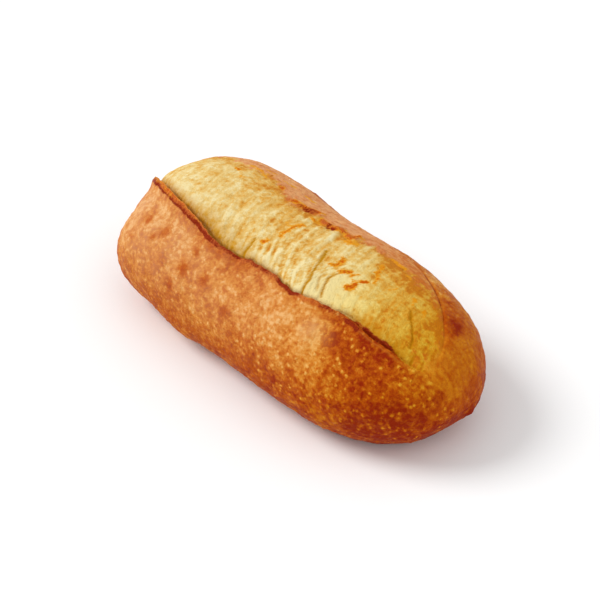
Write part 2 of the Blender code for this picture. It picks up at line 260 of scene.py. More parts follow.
# More golden and paler parts of the bloom: (place, angle, reach in mm, strength)
GOLDEN_PARTS = (
    (0.49, 16, 10, 0.45), (0.36, 24, 7, 0.6), (-0.39, 12, 8, 0.45), (-0.14, 4, 8, 0.35),
    (0.17, 16, 6, 0.35), (0.73, 5, 9, 0.3), (0.46, -13, 9, -0.45), (0.26, -11, 6, -0.25),
    (-0.5, -8, 14, -0.1), (0.3, -19, 5, -0.35), (0.37, 12, 4.5, 0.4), (0.17, -3, 5, -0.3),
    (0.18, -22, 4, 0.25), (-0.47, -4, 7, 0.25), (-0.53, 14, 6, 0.2), (-0.28, 6, 7, 0.2),
    (-0.07, -20, 5, 0.25), (0.11, -10, 5, 0.2), (-0.65, -12, 7, -0.25), (-0.77, -8, 7, -0.25),
    (0.36, -22, 5, -0.3), (0.3, -24, 5, -0.4), (0.03, -25, 5, -0.3), (-0.51, -16, 4, -0.25),
    (0.18, -9, 4, -0.2), (0.04, 3, 5, -0.3), (0.56, 11, 6, 0.2), (-0.09, 1, 4, 0.3),
    (0.27, -1, 4, 0.3), (-0.09, 13, 4, 0.3), (-0.21, -19, 5, -0.2), (0.18, -25, 5, 0.3),
    (0.07, -16, 5, 0.25), (0.13, 9, 5, -0.2), (0.46, 3, 6, -0.25), (-0.39, -18, 5, -0.3),
    (0.58, -15, 5, 0.2), (0.51, 12, 5, 0.2))

# The smooth patch of the bloom that fine ripples lie around: (place, angle), then the ripples in mm
PATCH = (0.34, -14)
RIPPLE_REACH = (4, 20)
RIPPLE_PITCH = 2.8
RIPPLE_HEIGHT = 0.24

# Relief in mm. The lumps of marks and streaks have a size along the loaf, one round it and an idle third.
BLISTER_RADIUS = (0.9, 1.7)
BLISTER_HEIGHT = (0.12, 0.34)
LUMP_SIZE, LUMP_HEIGHT = 10, 0.24
WRINKLE_SIZE, WRINKLE_HEIGHT = 3.4, 0.16
GRAIN_SIZE, GRAIN_HEIGHT = 2.8, 0.11
STRETCH_SIZE, STRETCH_HEIGHT = (2.4, 15, 1), 0.45
WAVE_SIZE, WAVE_HEIGHT = (6.5, 30, 1), 0.5
STREAK_SIZE, STREAK_HEIGHT = (16, 1.9, 1), 0.22
FLAP_HEIGHT, PIT_DEPTH = 0.45, 0.55
BAND_DEPTH, SECOND_LIP_HEIGHT = 0.35, 0.9

# Mesh: columns for each strip of the section, and the angles where the base and the foot end
COLUMNS = {"near base": 10, "near foot": 26, "near crust": 74, "flare": 20, "lip": 18, "bloom": 64,
           "far slope": 26, "crease": 7, "far crust": 40, "far base": 8}
BASE_EDGE = 152
FOOT_EDGE = 105

# The stage: the floor's half side and drop, each sun's spread in degrees and direction, the lens's shift
FLOOR_HALF = 3.0
FLOOR_DROP = 0.2 * MM
SUNS = {"key": (30, (-0.62, -0.40, 0.68)), "fill": (60, (0.9, 0.3, 0.9))}
LENS_SHIFT = (-0.004, -0.018)


def smooth(value):
    """Ease from 0 to 1 as the value goes from 0 to 1."""
    value = np.clip(value, 0, 1)
    return value * value * (3 - 2 * value)


def shoulder(value):
    """Round off from 0 to 1 as the value goes from 0 to 1: steep first and level at last."""
    return np.sqrt(1 - (1 - np.clip(value, 0, 1)) ** 2)


def hump(distance, reach):
    """1 at no distance, falling smoothly to nothing at about twice the reach."""
    return np.exp(-(distance / reach) ** 2)


def along(knots, place):
    """Read a smooth curve through (place, value) knots. It never swings past them."""
    places, values = np.array(knots, dtype=float).T
    rises = np.diff(values) / np.diff(places)
    before, after = np.append(rises[0], rises), np.append(rises, rises[-1])
    steepest = 3 * np.minimum(np.abs(before), np.abs(after)) * (before * after > 0)
    slopes = np.clip(np.gradient(values, places), -steepest, steepest)
    place = np.clip(place, places[0], places[-1])
    left = np.clip(np.searchsorted(places, place) - 1, 0, len(places) - 2)
    span = places[left + 1] - places[left]
    t = (place - places[left]) / span
    return ((2 * t**3 - 3 * t**2 + 1) * values[left] + (t**3 - 2 * t**2 + t) * span * slopes[left]
            + (3 * t**2 - 2 * t**3) * values[left + 1] + (t**3 - t**2) * span * slopes[left + 1])


def signed_power(value, power):
    return np.sign(value) * np.abs(value) ** power


def vectors(x, y=0.0, z=0.0):
    return np.stack(np.broadcast_arrays(x, y, z), axis=-1)


def unit(lines):
    return lines / np.maximum(np.linalg.norm(lines, axis=-1, keepdims=True), 1e-12)


def plain_loaf(place, angle):
    """The loaf before the slash opened: points at places along it and angles round it."""
    def taper(power, roundness=END_ROUNDNESS):
        end_power = np.where(place < 0, power["far"], power["near"])
        return np.clip(1 - np.abs(place) ** end_power, 0, None) ** roundness

    waist = 1 - WAIST_DEPTH * hump(place, WAIST_REACH)
    across = signed_power(np.sin(np.radians(angle)), 2 / SECTION_POWER)
    upward = signed_power(np.cos(np.radians(angle)), 2 / SECTION_POWER)
    crown = (HEIGHT - BELLY_HEIGHT) * taper(TOP_POWER)
    underside = UNDERSIDE_DEPTH * BELLY_HEIGHT * taper(UNDERSIDE_POWER, UNDERSIDE_ROUNDNESS)
    y = HALF_WIDTH * taper(PLAN_POWER) * waist * across
    z = BELLY_HEIGHT + np.where(upward > 0, crown, underside) * upward
    foot = (z + FOOT_ROUNDING) ** 2 / (4 * FOOT_ROUNDING)
    z = np.where(z < -FOOT_ROUNDING, 0, np.where(z < FOOT_ROUNDING, foot, z))
    return vectors(HALF_LENGTH * place, y, z)


def directions(place, angle):
    """The outward direction of the plain loaf, and the direction in which the angle grows."""
    # Just short of the ends, because the very ends are points
    inside = np.clip(place, -0.9995, 0.9995)
    place_step, angle_step = 2e-4, 0.5
    lengthwise = plain_loaf(inside + place_step, angle) - plain_loaf(inside - place_step, angle)
    onward = plain_loaf(inside, angle + angle_step) - plain_loaf(inside, angle - angle_step)
    return unit(np.cross(lengthwise, onward)), unit(onward)


def patches(points, table):
    """The sum of soft round patches on the plain loaf: (place, angle, reach in mm, strength)."""
    total = 0.0
    for place, angle, reach, strength in table:
        centre = plain_loaf(np.float64(place), np.float64(angle))
        total = total + strength * hump(np.linalg.norm(points - centre, axis=-1), reach * MM)
    return total


def swellings(points):
    """Slow hollows and swellings of a loaf shaped by hand."""
    x, y, z = np.moveaxis(points / MM, -1, 0)
    uneven = UNEVEN_HEIGHT * np.sin(x / 4.3 + z / 5.9 + 1.2) * np.sin(y / 5.2 - x / 11 + 0.4)
    return uneven + patches(points, SWELLINGS)


def even_places(count):
    """Places whose rings lie about equally far apart along the loaf's skin."""
    place = -np.cos(np.linspace(0, np.pi, 4001))
    walks = [plain_loaf(place, np.full_like(place, angle)) for angle in (0, 90, -90, 150)]
    steps = np.max([np.linalg.norm(np.diff(walk, axis=0), axis=1) for walk in walks], axis=0)
    way = np.append(0, np.cumsum(steps))
    return np.interp(np.linspace(0, way[-1], count + 1), way, place)


def rough(coordinates, size, octaves=3, seed=0.0):
    """Fractal noise from about -1 to 1, with lumps of the given size or sizes."""
    scaled = (coordinates / np.asarray(size, dtype=float)).reshape(-1, 3) + seed
    values = np.array([noise.fractal(point, 1.0, 2.0, octaves) for point in scaled.tolist()])
    return 1.6 * values.reshape(coordinates.shape[:-1])


class Skin:
    """The loaf's skin as a grid of stations and columns, with the lie of each point against the slash."""

    def __init__(self, form):
        self.form = form
        self.place = even_places(form.stations)[:, None]
        self.read_lines()
        self.lay_columns()
        self.points = plain_loaf(self.place, self.angle)
        self.outward, self.onward = directions(self.place, self.angle)
        self.measure_girth()

    def read_lines(self):
        """The angles of the lines along the loaf, and the heights and widths that go with them."""
        place = self.place
        way = vectors(place * HALF_LENGTH / MM)
        ragged = rough(way, 5, 4, seed=3.1) * smooth(6 * (1 - np.abs(place)))
        self.ear = along(EAR_LINE, place) + 0.4 * ragged
        self.crease = along(CREASE_LINE, place) + 0.3 * rough(way, 12, seed=8.4)
        jag = rough(way, 4, 4, seed=5.7) * smooth(2.2 - 2.6 * np.abs(place + 0.1))
        self.rim = np.minimum(along(RIM_LINE, place) + 1.2 * jag, self.crease - CREASE_WIDTH)
        self.foot = self.ear + along(BLOOM_FOOT, place)
        self.ear_height = along(EAR_HEIGHT, place) * (1 + 0.12 * rough(way, 3.6, seed=1.3))
        for notch, reach, depth in EAR_NOTCHES:
            cut = depth * hump((place - notch) * HALF_LENGTH / MM, reach)
            self.ear_height = np.maximum(self.ear_height - cut, 0)
        self.depth = along(SLASH_DEPTH, place)
        self.torn = along(TORN_WIDTH, place) * (1 + 0.15 * rough(way, 5, seed=7.7))
        self.inner_lip = along(INNER_LIP, place) + 0.25 * ragged

    def lay_columns(self):
        """Angles of the columns, strip by strip, and the first column of each strip."""
        flat = 0 * self.ear
        edges = (("near base", flat - 180, 1), ("near foot", flat - BASE_EDGE, 1),
                 ("near crust", flat - FOOT_EDGE, 1), ("flare", self.ear - EAR_FLARE, 0.8),
                 ("lip", self.ear, 1), ("bloom", self.foot, 1.08), ("far slope", self.rim, 0.95),
                 ("crease", self.crease - CREASE_WIDTH, 1), ("far crust", self.crease + CREASE_BANK, 1.1),
                 ("far base", flat + BASE_EDGE, 1), ("end", flat + 180, 1))
        angles, self.first, count = [], {}, 0
        for (name, start, crowding), (_, stop, _) in zip(edges, edges[1:]):
            self.first[name] = count
            share = (np.arange(COLUMNS[name]) / COLUMNS[name]) ** crowding
            angles.append(start + (stop - start) * share)
            count += COLUMNS[name]
        self.angle = np.hstack(angles)

    def strip(self, name):
        start = self.first[name]
        return slice(start, start + COLUMNS[name])

    def measure_girth(self):
        """Distances round the loaf in mm, from the top and from each line, and flat maps of the skin."""
        steps = np.linalg.norm(np.diff(self.points, axis=1), axis=-1) / MM
        girth = np.hstack([0 * self.ear, np.cumsum(steps, axis=1)])

        def from_line(line):
            there = [np.interp(at, angles, row) for at, angles, row in zip(line[:, 0], self.angle, girth)]
            return girth - np.array(there)[:, None]

        self.round = from_line(0 * self.ear)
        self.from_ear = from_line(self.ear)
        self.from_inner_lip = from_line(self.ear + self.inner_lip)
        self.from_foot = from_line(self.foot)
        self.from_rim = from_line(self.rim)
        self.from_crease = from_line(self.crease)
        self.way = self.points[..., 0] / MM
        self.map = vectors(self.way, self.round)
        # Stretch marks lean towards the far end beside the ear and stand upright on the top
        lean = 0.5 * self.round - 1.75 * np.logaddexp(0, (self.round + 9) / 5)
        self.slanted = self.map + vectors(lean)

    def spot(self, place, angle):
        """The flat map's coordinates of a place and an angle."""
        row = int(np.abs(self.place[:, 0] - place).argmin())
        return place * HALF_LENGTH / MM, float(np.interp(angle, self.angle[row], self.round[row]))

    def distance_to_line(self, knots, waver, shift=0.0):
        """Distance in mm to a line through (place, angle) knots, on the flat map."""
        corners = [np.array(self.spot(*knot)) + (0, shift) for knot in knots]
        here = self.map[..., :2] + waver[..., None]
        nearest = np.full(self.way.shape, np.inf)
        for start, stop in zip(corners, corners[1:]):
            run = stop - start
            share = np.clip((here - start) @ run / (run @ run), 0, 1)
            nearest = np.minimum(nearest, np.linalg.norm(here - start - share[..., None] * run, axis=-1))
        return nearest


class Relief:
    """Heights over the plain loaf, in mm, and the shares of each colour of the crust."""

    def __init__(self, skin):
        self.skin = skin
        self.here = skin.points / MM
        self.height = self.here[..., 2]
        self.lean = 0 * skin.way
        self.coarse = rough(self.here, 4.5, 4, seed=2.2)
        self.crumbly = rough(self.here, 1.8, seed=14.1)
        self.shape_zones()
        self.lay_tears()
        self.rise = self.slash() + swellings(skin.points) * smooth(self.height / 8)
        self.rise += self.crust_relief() + self.bloom_relief() + self.slope_relief() + self.lip_relief()
        self.shares = {"bulge": self.bulge, "slope": self.slope, "scorch": self.scorched_lines(),
                       "crack": self.crack, "blister": self.blister,
                       **self.crust_shares(), **self.bloom_shares()}

    def shape_zones(self):
        """Where the bloom, the far slope and the crust lie, each from 0 to 1."""
        skin = self.skin
        near_end = smooth((0.91 - skin.place + 0.05 * self.coarse + 0.03 * self.crumbly) / 0.14)
        far_end = smooth((skin.place + 0.975) / 0.05)
        inside = smooth((skin.from_inner_lip - 0.1) / 0.5) * smooth(0.7 - skin.from_crease)
        self.bulge = inside * near_end * far_end
        softness = along(RIM_SOFTNESS, skin.place)
        past_rim = smooth((skin.from_rim + 0.35 * softness * self.coarse) / softness + 0.4)
        self.slope = past_rim * self.bulge
        self.crust = 1 - self.bulge

    def lay_tears(self):
        """Shares of orange and of scorch in the tears, and their heights."""
        skin = self.skin
        self.orange, self.tear_scorch, self.tear_rise = 0 * skin.way, 0 * skin.way, 0 * skin.way
        waver = 0.6 * self.crumbly + 0.4 * self.coarse
        broken = np.clip(0.8 + 0.9 * self.crumbly, 0, 1.5)
        for width, orange, scorch, knots in TEARS:
            flap = hump(skin.distance_to_line(knots, waver), width)
            pit = hump(skin.distance_to_line(knots, waver, -1.5 * width), 0.8 * width)
            spread = hump(skin.distance_to_line(knots, 1.5 * waver), 2 * width)
            self.orange = np.maximum(self.orange, orange * (0.6 * flap + 0.42 * spread))
            self.tear_scorch = np.maximum(self.tear_scorch, scorch * (0.5 * flap + 0.7 * pit) * broken)
            self.tear_rise += (FLAP_HEIGHT * flap - PIT_DEPTH * pit) * max(orange, scorch)

    def slash(self):
        """The ear, the slash, the bulging bloom and the crease behind it, as in the solid."""
        skin = self.skin
        place, angle = skin.place, skin.angle
        flare, lip = skin.strip("flare"), skin.strip("lip")
        rise = 0 * angle
        upward = np.clip((angle[:, flare] - skin.ear + EAR_FLARE) / EAR_FLARE, 0, 1)
        rise[:, flare] = skin.ear_height * upward ** EAR_SWEEP
        section = np.array(SLASH_SECTION)
        past_ear = (angle[:, lip] - skin.ear) / along(LIP_WIDTH, place)
        height, depth, lean = [np.interp(past_ear, section[:, 0], shares) for shares in section.T[1:]]
        rise[:, lip] = skin.ear_height * height - skin.depth * depth
        self.lean[:, lip] = skin.ear_height * EAR_LEAN * lean
        bloom = (angle >= skin.foot) & (angle <= skin.crease)
        far_shoulder = shoulder((skin.crease - angle) / CREASE_SHOULDER)
        bank = (1 - smooth((angle - skin.crease) / CREASE_BANK)) * (angle > skin.crease)
        groove = along(CREASE_DEPTH, place) * np.where(bloom, 1 - far_shoulder, bank)
        return np.where(bloom, self.bloom_rise() * far_shoulder, rise) - groove

    def bloom_rise(self):
        """The bloom's pillow above its foot in the slash, and the raised strip past its rim."""
        skin = self.skin
        place, angle = skin.place, skin.angle
        share = np.clip((angle - skin.foot) / (skin.crease - skin.foot), 0, 1)
        pillow = along(BLOOM_SWELL, place) * (1 - 0.8 * smooth(1.3 * share - 0.3))
        past_rim = smooth(skin.from_rim / 1.4) * smooth(1 - (angle - skin.rim) / RIM_FADE)
        strip = along(RIM_HEIGHT, place) * past_rim * (1 + 0.3 * self.coarse)
        near_shoulder = shoulder((angle - skin.foot) / along(BLOOM_SHOULDER, place))
        return (pillow + skin.depth) * near_shoulder - skin.depth + strip

    def crust_relief(self):
        """Low lumps, wrinkles and blisters of the baked crust."""
        off_base = smooth((self.height - 0.5) / 5)
        lumps = LUMP_HEIGHT * rough(self.here, LUMP_SIZE, seed=4.4)
        wrinkles = WRINKLE_HEIGHT * rough(self.here, WRINKLE_SIZE, seed=6.1)
        heights = self.scatter_blisters(self.skin.form.blisters)
        return ((lumps + wrinkles) * self.skin.form.lumps + heights) * self.crust * off_base

    def scatter_blisters(self, count):
        """Round blisters, denser low on the near crust. Keeps their shares and returns their heights."""
        draw = np.random.default_rng(self.skin.form.seed)
        skin = self.skin
        area = np.gradient(skin.way, axis=0).clip(0.02) * np.gradient(skin.round, axis=1).clip(0.02)
        low = smooth((70 - self.height) / 60)
        weight = self.crust * area * (0.35 + low) * (0.5 + smooth(0.6 + skin.place)) * (self.height > 4)
        chosen = draw.choice(weight.size, count, p=weight.ravel() / weight.sum())
        radius = draw.uniform(*BLISTER_RADIUS, count)
        height = draw.uniform(*BLISTER_HEIGHT, count)
        tree = kdtree.KDTree(count)
        for index, centre in enumerate(self.here.reshape(-1, 3)[chosen]):
            tree.insert(centre, index)
        tree.balance()
        found = [tree.find(point)[1:] for point in self.here.reshape(-1, 3).tolist()]
        index, distance = (np.array(values) for values in zip(*found))
        share = smooth(1.35 - distance / radius[index])
        self.blister = share.reshape(skin.way.shape)
        return (share * height[index]).reshape(skin.way.shape)

    def bloom_relief(self):
        """Stretch marks, cracks, ripples and torn flakes of the bloom."""
        skin = self.skin
        near_ear = 0.4 + 0.6 * smooth((34 - skin.from_ear) / 26)
        calm = (1 - 0.75 * patches(skin.points, [(*PATCH, 7, 1)])) * smooth((skin.from_foot + 0.5) / 2.5)
        strength = (0.4 + 0.6 * hump(skin.place - 0.05, 0.4)) * calm
        stretch = rough(skin.slanted, STRETCH_SIZE, seed=7.9) * near_ear
        waves = rough(skin.slanted, WAVE_SIZE, 2, seed=9.2)
        # The ridges and the ripples also set painted light and shade in the bloom's colour
        self.ridges = np.clip(stretch + 0.4 * waves, -1, 1) * strength
        folds = (STRETCH_HEIGHT * stretch + WAVE_HEIGHT * waves) * strength
        grain = GRAIN_HEIGHT * rough(self.here, GRAIN_SIZE, seed=11.0)
        self.crack, cuts = 0 * skin.way, 0 * skin.way
        for width, depth, knots in CRACKS:
            distance = skin.distance_to_line(knots, 0.3 * self.coarse)
            cut = hump(distance, width)
            cuts += depth * (0.35 * hump(distance - 1.9 * width, 1.1 * width) - cut)
            # Deeper cracks get more painted shade in the bloom's colour
            self.crack = np.maximum(self.crack, cut * min(1, depth / DEEP_CRACK))
        self.waves = self.ripples()
        marks = skin.form.stretch * folds + RIPPLE_HEIGHT * self.waves
        heights = marks + grain + cuts + self.tear_rise
        open_bloom = self.bulge * (1 - self.slope)
        return heights * self.bulge * (open_bloom + (1 - open_bloom) * smooth(8 * self.orange))

    def ripples(self):
        """Fine curved ripples round the far side of the smooth patch."""
        skin = self.skin
        offset = skin.map[..., :2] - np.array(skin.spot(*PATCH))
        distance = np.linalg.norm(offset * (1, 0.75), axis=-1)
        low, high = RIPPLE_REACH
        ring = smooth((distance - low) / 2) * smooth((high - distance) / 5)
        side = smooth(0.5 - offset[..., 0] / np.maximum(distance, 1))
        return np.sin(2 * np.pi * distance / RIPPLE_PITCH + 1.5 * self.coarse) * ring * side

    def slope_relief(self):
        """Streaks along the browned far slope, and its torn rim."""
        skin = self.skin
        middle = smooth(1.6 - 3.4 * np.abs(skin.place + 0.06))
        self.torn_rim = hump(skin.from_rim - 0.5, 1) * middle * self.bulge
        streaks = STREAK_HEIGHT * rough(skin.map, STREAK_SIZE, seed=12.5)
        return streaks * self.slope + 0.3 * self.crumbly * self.torn_rim

    def lip_relief(self):
        """The torn band along the ear's crest, and the second lip beside the near half of the bloom."""
        skin = self.skin
        inner = smooth((1 - skin.from_ear) / 0.8)
        outer = smooth((skin.from_ear + skin.torn + 0.3) / 0.6)
        self.band = inner * outer * smooth(skin.torn / 0.9)
        below = hump(skin.from_ear + skin.torn + 0.8, 0.9) * smooth(skin.torn / 2 - 0.2)
        second = hump(skin.from_inner_lip + 0.7, 0.9) * along(INNER_SCORCH, skin.place)
        band_rise = (0.3 * self.crumbly - BAND_DEPTH) * self.band + 0.2 * below
        return band_rise + (SECOND_LIP_HEIGHT + 0.4 * self.crumbly) * second

    def spots(self, table):
        """Soft spots with frayed edges: (place, angle, reach in mm, strength)."""
        return (1 + 0.35 * self.coarse) * patches(self.skin.points, table)

    def scorched_lines(self):
        """The scorched crest, the band's lower edge, the second lip, the crease, the tears and the rim."""
        skin = self.skin
        place = skin.place
        crest = hump(skin.from_ear + 0.1, 1.2) * along(CREST_SCORCH, place)
        lower = hump(skin.from_ear + skin.torn, 0.85) * along(LOWER_SCORCH, place)
        second = hump(skin.from_inner_lip + 0.5, 1.5) * along(INNER_SCORCH, place)
        ends = smooth((place + 0.9) / 0.2) * smooth((0.78 - place) / 0.15)
        crease = 0.75 * hump(skin.from_crease - 0.2, 0.9) * ends
        patchy = 0.92 + 0.3 * rough(skin.map, (3, 2.5, 1), seed=19.4)
        rim = 0.4 * self.torn_rim * smooth(0.4 + rough(skin.map, (5, 4, 1), 2, seed=23.0))
        lines = [line * patchy for line in (crest, lower, second, crease)]
        return np.maximum.reduce([*lines, rim, self.tear_scorch])

    def crust_shares(self):
        """How deeply the crust is baked, with painted shade towards the near end and the bottom, and where it
        is rosy, speckled, torn or floury, or carries the painted highlight of a pinkish sheen.
        """
        skin = self.skin
        place, angle = skin.place, skin.angle
        low = smooth((60 - self.height) / 48)
        under = smooth((7 - self.height) / 7)
        onward = smooth((place - 0.39) / 0.34 + 0.06 * self.coarse)
        aside = np.where(angle < 0, smooth((-angle - 12) / 12), 0.6 * smooth((angle - 60) / 40))
        mottle = rough(self.here, 15, seed=18.0)
        rosy = self.spots(ROSY)
        beside = smooth((place - 0.42) / 0.1) * smooth((0.83 - place) / 0.15) * self.crust
        edge = along(REDDENED, place) * self.crust * (1 + 0.5 * self.coarse)
        brim = edge * hump(np.maximum(-skin.from_ear, 0), 5)

        # Darker towards the near end, on the sides and towards the bottom: partly the deeper bake there,
        # partly painted shade
        bake = 0.30 + 0.36 * onward * aside * (1 - 0.6 * low)
        bake += (0.31 + 0.14 * smooth((place + 0.3) / 0.5)) * low + 0.15 * under + 0.09 * mottle
        bake += 0.14 * smooth((place - 0.4) / 0.4) * (1 - aside)
        bake += 0.6 * self.spots(BLOTCHES) + 0.4 * rosy
        bake += 0.24 * beside * hump(skin.from_ear + 1.5, 4.5) + 0.32 * brim

        # Painted highlight: a dull pinkish sheen, broad towards the far end and in the SHEEN spots
        sheen = 0.5 * smooth((0.6 - place) / 1.3) * (1 + 0.3 * mottle) * (1 - low)
        blush = np.maximum(sheen, self.spots(SHEEN)) * np.clip(1 - 0.8 * rosy - 0.5 * brim, 0, 1)
        # Amber over the near end and the bottom: partly deeper bake, partly painted shade
        amber = np.clip(0.95 * smooth((place - 0.05) / 0.85) + 0.55 * low, 0, 1)
        specks = 0.6 + 0.4 * smooth((place + 0.15) / 0.8) * aside
        specks -= 0.4 * smooth((place - 0.6) / 0.25) * (1 - aside)

        far_part = hump(place + 0.55, 0.35)
        ends = smooth((place + 0.97) / 0.1) * smooth((0.8 - place) / 0.3)
        rim = hump(skin.from_rim - 0.8, 2.2) * smooth(1.7 - 3.6 * np.abs(place + 0.06)) * self.bulge
        torn = np.maximum.reduce([
            0.9 * self.band * (1 - far_part), 1.1 * hump(skin.from_crease - 0.2, 1.3) * ends,
            1.1 * edge * hump(skin.from_ear + 0.3, 1.5), 0.35 * rosy,
            0.8 * rim * np.clip(0.9 + 0.6 * self.coarse, 0, 1.2)])
        floury = smooth((place - 0.54) / 0.05) * smooth((0.84 - place) / 0.05)
        return {"bake": bake, "blush": blush, "amber": amber, "specks": specks, "torn": torn,
                "orange": np.maximum(self.orange, self.band * far_part),
                "flour": 0.42 * hump(skin.from_ear + 0.2, 0.22) * floury}

    def bloom_shares(self):
        """How toasted the bloom is, with painted light on its stretch marks and ripples, and the golden
        painted shade of its foot in the slash.
        """
        skin = self.skin
        place = skin.place
        past_foot = np.maximum(skin.from_foot, 0)
        # Golden painted shade at the bloom's foot, down in the slash
        foot = smooth((skin.from_inner_lip + 0.6) / 0.8) * hump(past_foot, along(FOOT_SHADE_WIDTH, place))
        toast = 0.40 + 0.13 * rough(skin.map, (11, 9, 1), seed=21.0) + self.spots(GOLDEN_PARTS)
        toast += 0.24 * smooth((place - 0.42) / 0.36) + 0.10 * smooth((-0.7 - place) / 0.2)
        toast -= 0.18 * smooth((16 - skin.from_ear) / 16) * (1 + hump(place - 0.28, 0.2))
        toast -= 0.55 * patches(skin.points, [(*PATCH, 10, 1)])
        toast += 0.32 * smooth((skin.from_rim + 12) / 12)
        toast += 0.2 * hump(past_foot, 9) * smooth((place - 0.45) / 0.1)
        # Painted light: paler on the ridges of the stretch marks and ripples, darker gold in their troughs
        toast -= (0.35 + 0.4 * hump(place - 0.1, 0.3)) * self.ridges + 0.24 * self.waves
        return {"toast": toast, "cleft": foot * along(FOOT_SHADE, place)}

    def finished_points(self):
        skin = self.skin
        rise, lean = (self.rise * MM)[..., None], (self.lean * MM)[..., None]
        points = skin.points + skin.outward * rise + skin.onward * lean
        points[..., 2] = np.clip(points[..., 2], 0, None)
        return points


def with_poles(grid):
    """Values of a grid with its first and last station each drawn together into one pole."""
    flat = grid[1:-1].reshape(-1, *grid.shape[2:])
    return np.concatenate([grid[:1].mean(axis=1), flat, grid[-1:].mean(axis=1)])


def unwrapping(skin):
    """The skin's UV coordinates, face by face: U along the loaf and V round it."""
    steps = np.linalg.norm(np.diff(skin.points, axis=0), axis=-1).max(axis=1)
    u = np.append(0, np.cumsum(steps)) / steps.sum()
    columns = skin.angle.shape[1]
    reach = skin.round.mean(axis=0)
    v = np.append((reach - reach[0]) / (reach[-1] - reach[0]) * (1 - 1 / columns), 1)
    low, high = u[1:-2, None], u[2:-1, None]
    here, there = v[:-1], v[1:]
    middle = 0.5 * (here + there)

    def faces(*corners):
        pairs = [np.stack(np.broadcast_arrays(*corner), axis=-1) for corner in corners]
        return np.stack(pairs, axis=-2).reshape(-1)

    return np.concatenate([
        faces((0.0, middle), (u[1], here), (u[1], there)),
        faces((low, here), (high, here), (high, there), (low, there)),
        faces((u[-2], here), (1.0, middle), (u[-2], there))]).astype(np.float32)


def make_skin_mesh(name, skin, relief):
    """A closed mesh of the grid, with its colour shares and its own unwrapping."""
    stations, columns = skin.angle.shape[0] - 1, skin.angle.shape[1]
    vertices = with_poles(relief.finished_points())
    rows = np.arange(stations - 1)[:, None] * columns + 1
    this, following = np.arange(columns), (np.arange(columns) + 1) % columns
    lower, upper = rows[:-1], rows[1:]
    last = len(vertices) - 1
    far_cap = np.stack([0 * this, 1 + this, 1 + following], axis=-1)
    quads = np.stack([lower + this, upper + this, upper + following, lower + following], axis=-1)
    near_cap = np.stack([rows[-1] + this, 0 * this + last, rows[-1] + following], axis=-1)
    mesh = bpy.data.meshes.new(name)
    mesh.from_pydata(vertices.tolist(), [],
                     far_cap.tolist() + quads.reshape(-1, 4).tolist() + near_cap.tolist())
    mesh.uv_layers.new(name="OFBake").uv.foreach_set("vector", unwrapping(skin))
    for share, values in relief.shares.items():
        attribute = mesh.attributes.new(share, "FLOAT", "POINT")
        attribute.data.foreach_set("value", with_poles(values).astype(np.float32))
    flat_map = mesh.attributes.new("flat_map", "FLOAT_VECTOR", "POINT")
    flat_map.data.foreach_set("vector", (with_poles(skin.slanted) * MM).astype(np.float32).ravel())
    mesh.shade_smooth()
    mesh.update()
    return mesh


class Signal:
    """A node's output. Arithmetic on it adds Math nodes."""

    def __init__(self, finish, socket):
        self.finish = finish
        self.socket = socket

    def math(self, operation, *values, clamp=False):
        settings = {"operation": operation, "use_clamp": clamp}
        return self.finish.add("Math", settings, dict(enumerate(values)))

    def __add__(self, other):
        return self.math("ADD", self, other)

    def __sub__(self, other):
        return self.math("SUBTRACT", self, other)

    def __rsub__(self, other):
        return self.math("SUBTRACT", other, self)

    def __mul__(self, other):
        return self.math("MULTIPLY", self, other)

    __radd__ = __add__
    __rmul__ = __mul__

    def between(self, low, high):
        """0 below low, 1 above high and smooth between them."""
        sockets = {"Value": self, "From Min": low, "From Max": high}
        return self.finish.add("MapRange", {"interpolation_type": "SMOOTHSTEP"}, sockets)

    def clamped(self):
        return self.math("ADD", self, 0.0, clamp=True)


